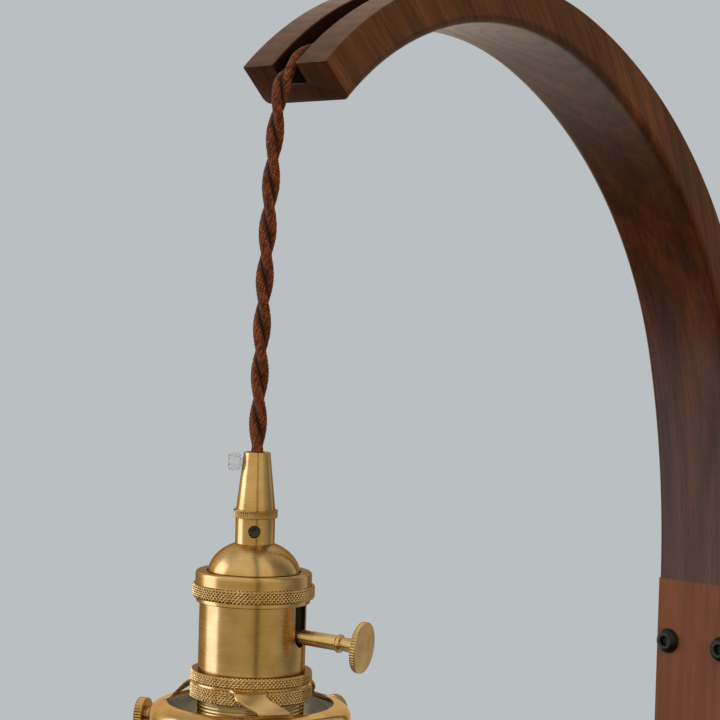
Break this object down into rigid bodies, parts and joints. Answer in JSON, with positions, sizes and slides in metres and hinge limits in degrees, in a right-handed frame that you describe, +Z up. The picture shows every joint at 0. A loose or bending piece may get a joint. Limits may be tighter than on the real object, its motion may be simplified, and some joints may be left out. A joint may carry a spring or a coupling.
{
  "type": "wall lamp",
  "caption": "Wall lamp with an arched wooden arm on a wall post, a brass key-switch lampholder hanging on a twisted cord, a shade carrier, glass bell shade and bulb.",
  "frame": {"origin": "middle of the wall plate's back face, which lies on the wall", "axes": "+Y into the wall, +Z up, +X to the right when facing the wall"},
  "size_m": [0.15, 0.372, 0.473],
  "materials": {
    "walnut_dark": "oiled walnut, satin",
    "walnut_red": "oiled reddish walnut, satin",
    "antique_brass": "brushed lacquered brass",
    "black_steel": "black oxide",
    "zinc_steel": "zinc plated",
    "black_rubber": "moulded",
    "clear_nylon": "natural translucent",
    "braided_cotton": "braided twisted pair",
    "brown_phenolic": "moulded",
    "white_ceramic": "glazed",
    "clear_glass": "clear blown glass",
    "filament": "coated rods"
  },
  "bodies": {
    "lamp_base": {"base_post": "walnut_red", "arm": "walnut_dark", "wall_plate": "zinc_steel", "post_screws": "black_steel", "inlet_grommet": "black_rubber", "terminal_block": "clear_nylon", "block_screws": "antique_brass", "earth_screw": "antique_brass", "arm_cord": "braided_cotton"},
    "upper_cord": {"cord_bend": "braided_cotton"},
    "lower_cord": {"cord_drop": "braided_cotton"},
    "holder": {"cord_cone": "antique_brass", "cord_lock_screw": "clear_nylon", "holder_cord": "braided_cotton", "cap_dome": "antique_brass", "neck_grub_screw": "black_steel", "union_ring": "antique_brass", "socket_shell": "antique_brass", "switch_block": "brown_phenolic", "switch_terminals": "antique_brass", "ceramic_insert": "white_ceramic", "screw_shell": "antique_brass", "centre_contact": "antique_brass", "upper_shade_ring": "antique_brass", "lower_shade_ring": "antique_brass", "shade_carrier": "antique_brass", "glass_shade": "clear_glass", "bulb_cap": "zinc_steel", "bulb_insulator": "brown_phenolic", "bulb_glass": "clear_glass", "bulb_stem": "clear_glass", "bulb_filament": "filament"},
    "key": {"switch_key": "antique_brass", "switch_cam": "clear_nylon"},
    "thumb_1": {"thumbscrew_1": "antique_brass"},
    "thumb_2": {"thumbscrew_2": "antique_brass"},
    "thumb_3": {"thumbscrew_3": "antique_brass"}
  },
  "joints": [
    {"name": "pendant_swing_sideways", "type": "hinge", "parent": "lamp_base", "child": "upper_cord", "pos_m": [0, -0.2874, 0.3193], "axis": [0, 1, 0], "range_deg": [-20, 20], "deforming": ["cord_bend"]},
    {"name": "pendant_swing_fore_aft", "type": "hinge", "parent": "upper_cord", "child": "lower_cord", "pos_m": [0, -0.297, 0.299], "axis": [1, 0, 0], "range_deg": [-20, 20], "deforming": ["cord_bend"]},
    {"name": "pendant_twist", "type": "hinge", "parent": "lower_cord", "child": "holder", "pos_m": [0, -0.297, 0.187], "axis": [0, 0, 1], "range_deg": [-60, 60], "stiffness_Nm_per_rad": 0.02},
    {"name": "switch_key_turn", "type": "hinge", "parent": "holder", "child": "key", "pos_m": [0, -0.297, 0.1288], "axis": [0.9374, 0.3412, -0.0698], "continuous": true},
    {"name": "thumbscrew_1_travel", "type": "slide", "parent": "holder", "child": "thumb_1", "axis": [-0.891, -0.454, 0], "range_m": [0, 0.004]},
    {"name": "thumbscrew_2_travel", "type": "slide", "parent": "holder", "child": "thumb_2", "axis": [0.8387, -0.5446, 0], "range_m": [0, 0.004]},
    {"name": "thumbscrew_3_travel", "type": "slide", "parent": "holder", "child": "thumb_3", "axis": [0.0523, 0.9986, 0], "range_m": [0, 0.004]}
  ]
}
